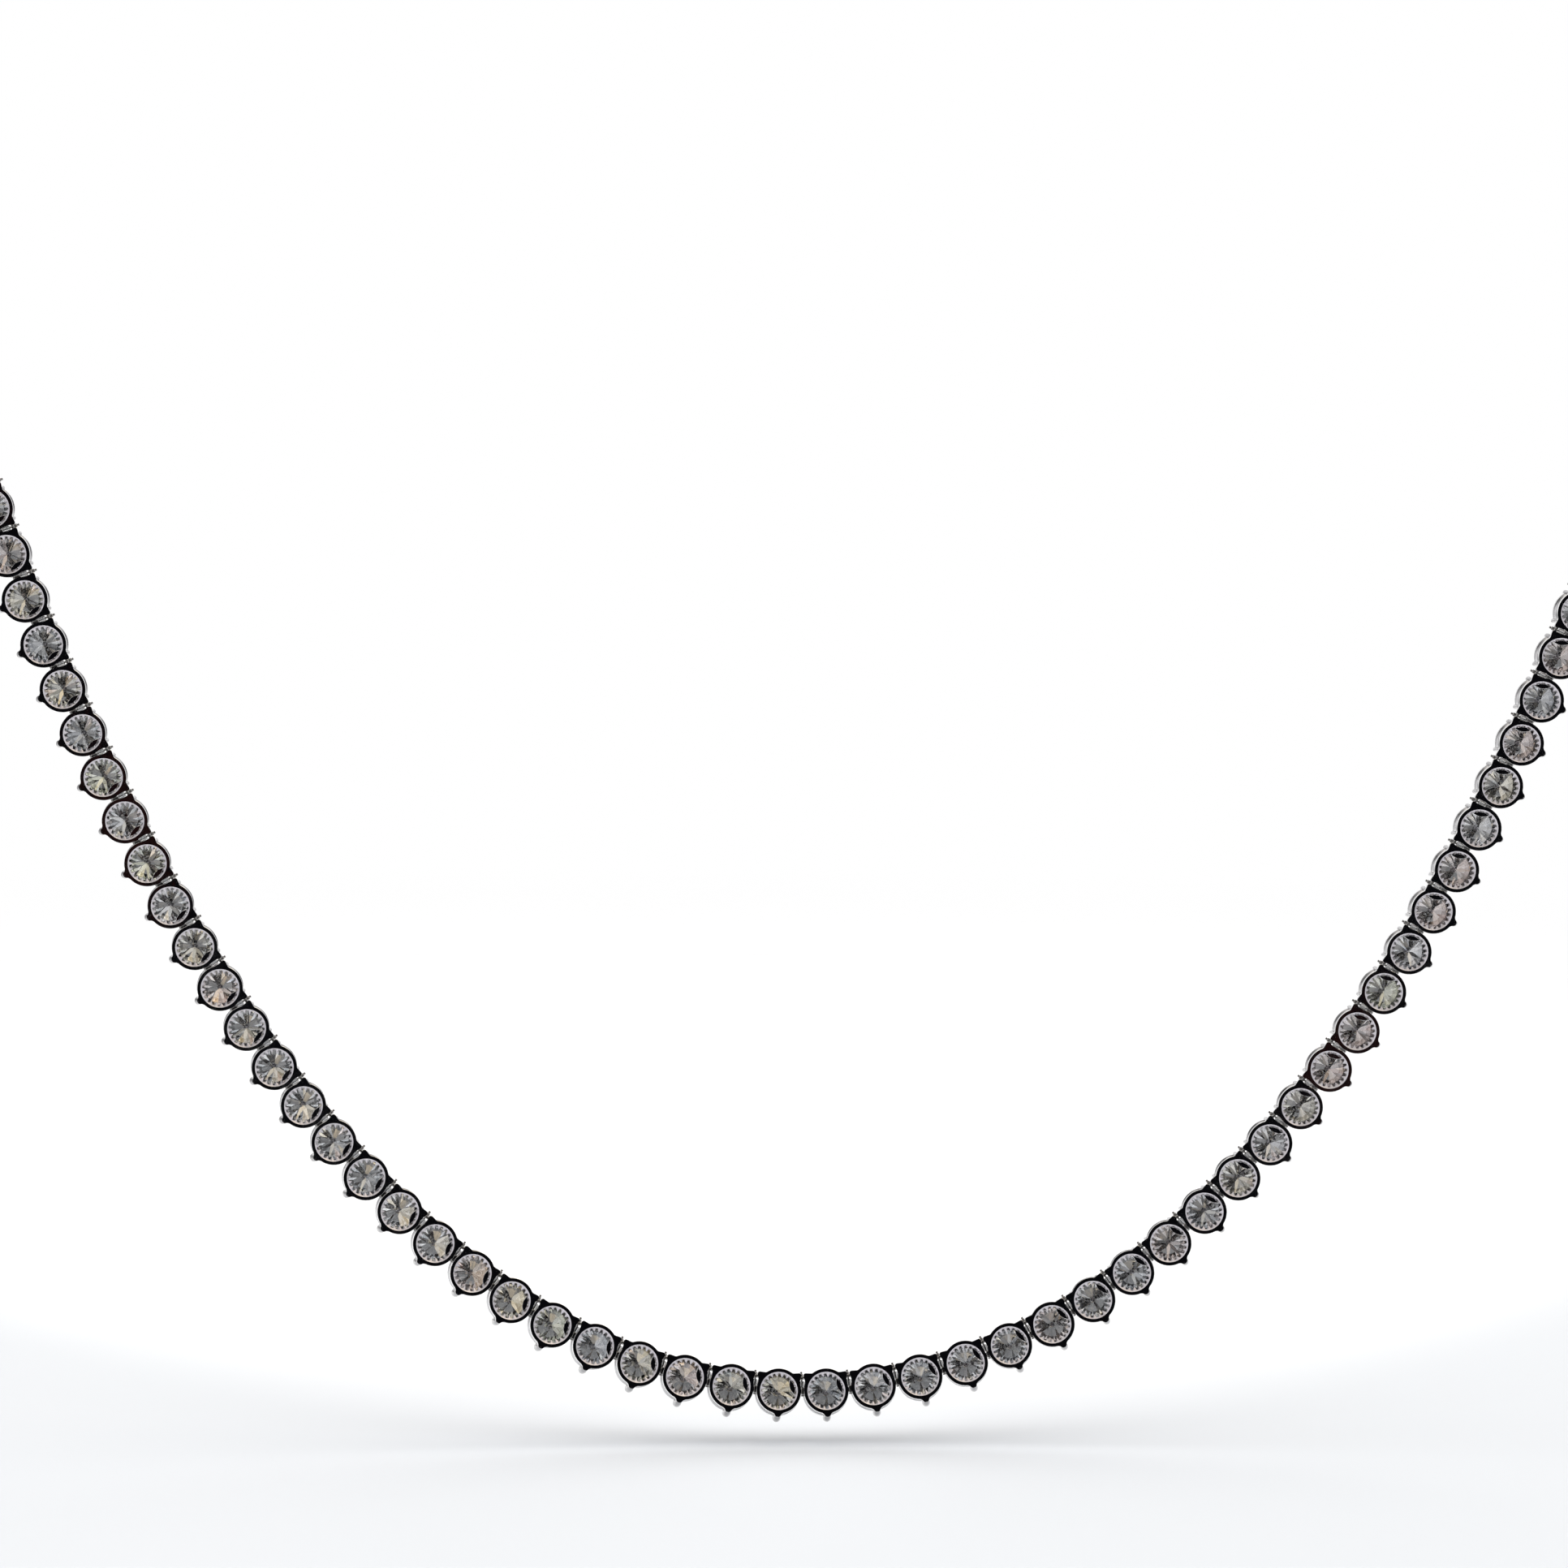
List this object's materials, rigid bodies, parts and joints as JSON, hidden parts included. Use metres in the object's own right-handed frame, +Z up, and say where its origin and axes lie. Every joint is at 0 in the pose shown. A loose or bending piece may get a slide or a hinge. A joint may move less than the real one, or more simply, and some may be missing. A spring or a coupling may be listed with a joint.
{
  "type": "riviere necklace",
  "caption": "Closed necklace of equal round brilliant stones in open claw settings, hinged one to the next on pins, with a plain box clasp at the nape.",
  "frame": {"origin": "middle of the clasp's underside at the nape, where the necklace hangs on the back of the neck", "axes": "+Z up along the neck, +X to the wearer's right seen from behind, +Y from the nape to the front of the neck; the front row hangs in a plane of constant Y"},
  "size_m": [0.1506, 0.0351, 0.1452],
  "materials": {
    "white_metal": "polished white gold",
    "stone": "colourless cut stone, polished facets",
    "clasp_metal": "polished white gold with a fine grain"
  },
  "bodies": {
    "root": {"settings_left": "white_metal", "settings_right": "white_metal", "stones_left": "stone", "stones_right": "stone", "clasp": "clasp_metal"}
  },
  "joints": []
}
